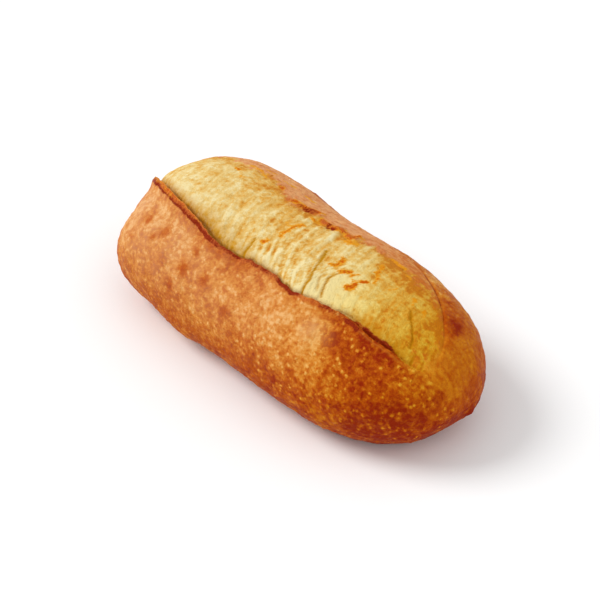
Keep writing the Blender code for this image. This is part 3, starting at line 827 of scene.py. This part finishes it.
class Finish:
    """A material and the nodes that are added to it."""

    def __init__(self, name):
        self.material = bpy.data.materials.new(name)
        self.material.use_nodes = True
        self.tree = self.material.node_tree
        self.tree.nodes.clear()

    def add(self, kind, settings=None, sockets=None, output=0):
        """Add a node, set its settings, then the values or links of its sockets. Returns one output."""
        node = self.tree.nodes.new("ShaderNode" + kind)
        for name, value in (settings or {}).items():
            if name == "stops":
                self.set_stops(node.color_ramp, value)
            else:
                setattr(node, name, value)
        for name, value in (sockets or {}).items():
            if isinstance(value, Signal):
                self.tree.links.new(value.socket, node.inputs[name])
            else:
                node.inputs[name].default_value = value
        return Signal(self, node.outputs[output]) if len(node.outputs) else None

    def set_stops(self, ramp, stops):
        for position, colour in stops[1:-1]:
            ramp.elements.new(position).color = colour
        ramp.elements[0].position, ramp.elements[0].color = stops[0]
        ramp.elements[-1].position, ramp.elements[-1].color = stops[-1]

    def ramp(self, value, *stops):
        """A colour for the value, from (position, colour) stops."""
        stops = [(position, rgb(colour)) for position, colour in stops]
        return self.add("ValToRGB", {"stops": stops}, {"Fac": value.clamped()})

    def share(self, name):
        """A share of the skin, read as a number."""
        return self.add("Attribute", {"attribute_name": name}, output="Fac")

    def mix(self, factor, first, second, blend="MIX"):
        """Mix two colours. The sockets 0, 6 and 7 are the node's factor and its two colours."""
        settings = {"data_type": "RGBA", "clamp_factor": True, "blend_type": blend}
        return self.add("Mix", settings, {0: factor, 6: first, 7: second}, output=2)

    def vector_math(self, operation, first, second):
        return self.add("VectorMath", {"operation": operation}, {0: first, 1: second})

    def noise(self, where, size, detail=3.0, roughness=0.55):
        """Noise around 0, mostly from -1 to 1, with lumps of the given size in metres."""
        sockets = {"Vector": where, "Scale": 1 / size, "Detail": detail, "Roughness": roughness}
        return (self.add("TexNoise", None, sockets, output="Fac") - 0.5) * 4.0

    def warped(self, where, size, reach):
        """The position, pushed about by up to the given reach in lumps of the given size, in metres."""
        sockets = {"Vector": where, "Scale": 1 / size, "Detail": 2.0}
        push = self.add("TexNoise", None, sockets, output="Color")
        centred = self.vector_math("SUBTRACT", push, (0.5, 0.5, 0.5))
        scaled = self.vector_math("MULTIPLY", centred, (4 * reach,) * 3)
        return self.vector_math("ADD", where, scaled)

    def cells(self, where, size):
        """Distance from the nearest of scattered points, and a random number for each of them."""
        sockets = {"Vector": where, "Scale": 1 / size, "Randomness": 1.0}
        distance, colour = (self.add("TexVoronoi", {"feature": "F1"}, sockets, output=output)
                            for output in ("Distance", "Color"))
        return distance, self.add("SeparateColor", None, {0: colour})

    def surface(self, sockets):
        """Shade the material by these sockets of one principled surface. Returns the material."""
        self.add("OutputMaterial", None, {"Surface": self.add("BsdfPrincipled", None, sockets)})
        return self.material


def rgb(value):
    return (*value, 1.0)


def make_crust_finish(look, names):
    """The loaf's one finish, from pale bloom to scorched lip, by the named shares that the skin holds."""
    finish = Finish("loaf_crust")
    where = finish.add("TexCoord", output="Object")
    flat_map = finish.add("Attribute", {"attribute_name": "flat_map"}, output="Vector")
    share = {name: finish.share(name) for name in names}
    bent = finish.warped(where, 2.5 * MM, 0.5 * MM)
    fine = finish.noise(where, 0.9 * MM)
    middling = finish.noise(bent, 2.6 * MM, roughness=0.5)
    patchy = finish.noise(bent, 5.5 * MM, 2.0)
    broad = finish.noise(where, 14 * MM)
    frayed = finish.warped(where, 1.6 * MM, 0.5 * MM)
    cell_distance, cell_number = finish.cells(frayed, 3.2 * MM)
    specks = (1 - cell_distance.between(0.06, 0.50)) * cell_number.between(0.30, 0.80) * share["specks"]
    dot_distance, dot_number = finish.cells(frayed, 8 * MM)
    dots = (1 - dot_distance.between(0.05, 0.28)) * dot_number.between(0.40, 0.70)

    # Crust: tone from the slow bake, with painted shade towards the near end and the bottom, and from the
    # mottling, paler on blisters and specks
    mottling = 0.10 * fine + 0.26 * middling + 0.17 * patchy + 0.20 * broad + 0.12 * dots
    tone = (share["bake"] + (0.5 + 0.5 * share["specks"] + 1.2 * share["blush"]) * mottling
            - 0.55 * specks - 0.20 * share["blister"] + 0.06)
    crust = finish.ramp(tone, (0, look.crust_pale), (0.34, look.crust_gold), (0.66, look.crust_brown),
                        (1, look.crust_dark))
    # Painted highlight: the dull pinkish sheen, mixed over the crust
    crust = finish.mix(share["blush"] * (0.75 + 0.35 * middling + 0.2 * fine), crust, rgb(look.blush))

    # Bloom: straw to gold, with painted shade in the troughs of the stretch marks and ripples and paler
    # ridges
    strands = finish.noise(finish.vector_math("MULTIPLY", flat_map, (1, 0.14, 1)), 1.3 * MM)
    toast = (share["toast"] + 0.26 * middling + 0.10 * fine + 0.10 * strands + 0.20 * patchy
             + 0.16 * broad + 0.35 * dots)
    bloom = finish.ramp(toast, (0, look.bloom_pale), (0.42, look.bloom_straw), (0.75, look.bloom_gold),
                        (1, look.bloom_toasted))
    # Golden painted shade at the bloom's foot in the slash and in its cracks
    bloom = finish.mix(share["cleft"] * (0.8 + 0.2 * middling), bloom, rgb(look.cleft))
    bloom = finish.mix(1.5 * share["crack"], bloom, rgb(look.cleft))

    # Far slope: pinkish brown, streaked along the loaf, and browner with the amber share of the near end
    # (partly bake, partly painted shade)
    streaks = finish.noise(finish.vector_math("MULTIPLY", flat_map, (0.12, 1, 1)), 1.6 * MM)
    browned = 0.45 + 0.85 * share["amber"] + 0.32 * streaks + 0.35 * middling + 0.35 * patchy
    slope = finish.mix(browned.clamped(), rgb(look.slope_pale), rgb(look.slope_brown))

    # The three together, then the tears, the flour, the amber of the near end and the bottom (partly deeper
    # bake, partly painted shade) and the scorch
    bloom_edge = (share["bulge"] + 0.22 * middling + 0.14 * fine).between(0.3, 0.7)
    slope_edge = (share["slope"] + 0.22 * middling + 0.20 * patchy).between(0.15, 0.85)
    colour = finish.mix(bloom_edge, crust, finish.mix(slope_edge, bloom, slope))
    orange = share["orange"] * (1 + 0.5 * fine + 0.5 * middling)
    colour = finish.mix(orange.between(0.06, 0.45), colour, rgb(look.torn_gold))
    colour = finish.mix(orange.between(0.40, 0.95), colour, rgb(look.orange))
    torn = finish.ramp(0.5 + 0.4 * fine, (0, look.torn_light), (1, look.torn_dark))
    colour = finish.mix(share["torn"] * (1 + 0.3 * middling), colour, torn)
    colour = finish.mix(share["flour"] * (0.8 + 0.5 * fine), colour, rgb(look.flour))
    colour = finish.mix(share["amber"], colour, rgb(look.amber), "MULTIPLY")
    scorched = (share["scorch"] * (1 + 0.3 * fine + 0.2 * middling)).between(0.2, 0.95)
    scorch = finish.ramp(0.5 + 0.45 * fine, (0, look.scorch_red), (1, look.scorch_dark))
    colour = finish.mix(scorched, colour, scorch)

    # Bump: fine grain all over, specks on the crust, strands on the bloom
    relief = (0.14 * fine + 0.20 * middling + 0.24 * specks * (1 - bloom_edge)
              - 0.12 * strands * bloom_edge + 0.12 * streaks * slope_edge * bloom_edge) * MM
    normal = finish.add("Bump", None, {"Strength": 1.0, "Distance": 1.0, "Height": relief}, "Normal")
    roughness = (look.roughness + 0.15 * bloom_edge + 0.06 * fine - 0.08 * scorched).clamped()
    return finish.surface({"Base Color": colour, "Roughness": roughness, "Normal": normal, "IOR": 1.45,
                           "Specular IOR Level": 0.05})


def number(name, description, default, **more):
    return bpy.props.FloatProperty(name=name, description=description, default=default, **more)


def colour(name, description, default):
    return bpy.props.FloatVectorProperty(name=name, description=description, default=default, size=3,
                                         subtype="COLOR", min=0.0, max=1.0)


class LoafForm(bpy.types.PropertyGroup):
    """Sizes and relief of the loaf."""
    stations: bpy.props.IntProperty(name="Stations", description="Rings of the mesh along the loaf",
                                    default=336, min=40)
    blisters: bpy.props.IntProperty(name="Blisters", description="How many blisters the crust has",
                                    default=700, min=1)
    lumps: number("Lumps", "Strength of the crust's low lumps", 1.0, subtype="FACTOR")
    stretch: number("Stretch marks", "Strength of the bloom's stretch marks", 1.0, subtype="FACTOR")
    seed: bpy.props.IntProperty(name="Seed", description="Seed of the blisters' places", default=7)


class LoafLook(bpy.types.PropertyGroup):
    """Colours of the baked crust and of the bloom."""
    crust_pale: colour("Pale crust", "Crust that took least colour", (0.83, 0.47, 0.19))
    crust_gold: colour("Golden crust", "Crust of middling colour", (0.68, 0.26, 0.045))
    crust_brown: colour("Brown crust", "Well baked crust", (0.50, 0.105, 0.004))
    crust_dark: colour("Dark crust", "Crust that took most colour", (0.31, 0.024, 0.001))
    # The colour of the painted highlight, a dull pinkish sheen on the crust
    blush: colour("Blush", "Dull pinkish sheen on the crust", (0.70, 0.34, 0.15))
    # Amber: partly the deeper bake of the near end and the bottom, partly painted shade there
    amber: colour("Amber", "Filter over the more deeply baked end", (0.92, 0.76, 0.10))
    bloom_pale: colour("Pale bloom", "Freshly stretched crust", (0.86, 0.72, 0.38))
    bloom_straw: colour("Straw bloom", "Most of the bloom", (0.77, 0.53, 0.18))
    bloom_gold: colour("Golden bloom", "Well coloured parts of the bloom", (0.70, 0.36, 0.060))
    bloom_toasted: colour("Toasted bloom", "Darkest parts of the bloom", (0.60, 0.22, 0.020))
    # The cleft colour is a golden painted shade, at the bloom's foot in the slash and in the cracks
    cleft: colour("Cleft", "Bottom of the slash and of the cracks", (0.54, 0.25, 0.006))
    torn_gold: colour("Torn gold", "Round the torn flakes on the bloom", (0.79, 0.34, 0.018))
    orange: colour("Torn flakes", "Torn flakes on the bloom", (0.62, 0.115, 0.003))
    torn_light: colour("Torn light", "Lighter grains of the torn band", (0.67, 0.19, 0.035))
    torn_dark: colour("Torn dark", "Darker grains of the torn band", (0.42, 0.07, 0.015))
    flour: colour("Flour", "Thin pale line at the crust's edge", (0.80, 0.46, 0.18))
    slope_pale: colour("Pale slope", "Paler streaks of the far slope", (0.82, 0.43, 0.18))
    slope_brown: colour("Brown slope", "Browner streaks of the far slope", (0.62, 0.19, 0.05))
    scorch_red: colour("Red scorch", "Lit grains of the scorched lip", (0.36, 0.035, 0.004))
    scorch_dark: colour("Dark scorch", "Darkest grains of the scorched lip", (0.16, 0.008, 0.001))
    roughness: number("Roughness", "Roughness of the crust", 0.5, subtype="FACTOR")


class LoafStage(bpy.types.PropertyGroup):
    """Camera, floor and light."""
    azimuth: number("Azimuth", "Camera's direction round the loaf", math.radians(47.2), subtype="ANGLE")
    elevation: number("Elevation", "Camera's height over the horizon", math.radians(40.0), subtype="ANGLE")
    distance: number("Distance", "Camera's distance from the loaf", 1.4, unit="LENGTH")
    lens: number("Lens", "Camera's focal length", 140.0, unit="CAMERA")
    aim_height: number("Aim height", "Height that the camera looks at", 0.041, unit="LENGTH")
    floor: colour("Floor", "Colour of the floor", (0.97, 0.97, 0.97))
    sky: number("Sky", "Strength of the even light all round", 0.68)
    key: number("Key", "Strength of the soft light from the left", 1.75)
    fill: number("Fill", "Strength of the light on the far side", 0.3)


def link(scene, name, data):
    """A new object in the scene."""
    thing = bpy.data.objects.new(name, data)
    scene.collection.objects.link(thing)
    return thing


class LOAF_OT_crust(bpy.types.Operator):
    """Model the loaf's skin with its ear, bloom and blisters, and finish it"""
    bl_idname = "loaf.crust"
    bl_label = "Loaf"

    def execute(self, context):
        skin = Skin(context.scene.loaf_form)
        relief = Relief(skin)
        mesh = make_skin_mesh("loaf_skin", skin, relief)
        mesh.materials.append(make_crust_finish(context.scene.loaf_look, relief.shares))
        piece = link(context.scene, "loaf_skin", mesh)
        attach(piece, "root")
        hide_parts("loaf")
        return {"FINISHED"}


class LOAF_OT_stage(bpy.types.Operator):
    """Lay the floor, hang the lights and set the camera"""
    bl_idname = "loaf.stage"
    bl_label = "Stage"

    def execute(self, context):
        scene, stage = context.scene, context.scene.loaf_stage
        self.lay_floor(scene, stage)
        self.hang_lights(scene, stage)
        self.set_camera(scene, stage)
        scene.view_settings.view_transform = "Standard"
        return {"FINISHED"}

    def lay_floor(self, scene, stage):
        mesh = bpy.data.meshes.new("floor")
        signs = ((-1, -1), (1, -1), (1, 1), (-1, 1))
        mesh.from_pydata([(x * FLOOR_HALF, y * FLOOR_HALF, 0.0) for x, y in signs], [], [(0, 1, 2, 3)])
        finish = Finish("floor")
        where = finish.add("TexCoord", output="Object")
        roughness = (0.85 + 0.02 * finish.noise(where, 4 * MM)).clamped()
        mesh.materials.append(finish.surface({"Base Color": rgb(stage.floor), "Roughness": roughness}))
        floor = link(scene, "floor", mesh)
        floor.location.z = -FLOOR_DROP

    def hang_lights(self, scene, stage):
        world = bpy.data.worlds.new("studio")
        world.use_nodes = True
        background = world.node_tree.nodes["Background"]
        background.inputs["Color"].default_value = (1.0, 1.0, 1.0, 1.0)
        background.inputs["Strength"].default_value = stage.sky
        scene.world = world
        for name, (spread, direction) in SUNS.items():
            light = bpy.data.lights.new(name, "SUN")
            light.energy = getattr(stage, name)
            light.angle = math.radians(spread)
            lamp = link(scene, name, light)
            lamp.location = Vector(direction)
            lamp.rotation_euler = Vector(direction).to_track_quat("Z", "Y").to_euler()

    def set_camera(self, scene, stage):
        level = math.cos(stage.elevation)
        back = Vector((math.sin(stage.azimuth) * level, -math.cos(stage.azimuth) * level,
                       math.sin(stage.elevation)))
        camera = bpy.data.cameras.new("camera")
        camera.lens = stage.lens
        camera.shift_x, camera.shift_y = LENS_SHIFT
        tripod = link(scene, "camera", camera)
        tripod.location = Vector((0.0, 0.0, stage.aim_height)) + back * stage.distance
        tripod.rotation_euler = (-back).to_track_quat("-Z", "Y").to_euler()
        scene.camera = tripod


class LOAF_PT_panel(bpy.types.Panel):
    """The loaf's makers and their settings"""
    bl_idname = "LOAF_PT_panel"
    bl_label = "Batard loaf"
    bl_space_type = "VIEW_3D"
    bl_region_type = "UI"
    bl_category = "Loaf"

    def draw(self, context):
        for operator, groups in (("loaf.crust", ("loaf_form", "loaf_look")), ("loaf.stage", ("loaf_stage",))):
            box = self.layout.box()
            box.operator(operator)
            for group in groups:
                settings = getattr(context.scene, group)
                for name in settings.__annotations__:
                    box.prop(settings, name)


CLASSES = (LoafForm, LoafLook, LoafStage, LOAF_OT_crust, LOAF_OT_stage, LOAF_PT_panel)
GROUPS = {"loaf_form": LoafForm, "loaf_look": LoafLook, "loaf_stage": LoafStage}


def register():
    for kind in CLASSES:
        bpy.utils.register_class(kind)
    for name, group in GROUPS.items():
        setattr(bpy.types.Scene, name, bpy.props.PointerProperty(type=group))


def unregister():
    for name in GROUPS:
        delattr(bpy.types.Scene, name)
    for kind in reversed(CLASSES):
        bpy.utils.unregister_class(kind)


def main():
    register()
    bpy.ops.loaf.crust()
    bpy.ops.loaf.stage()


if __name__ == "__main__":
    main()
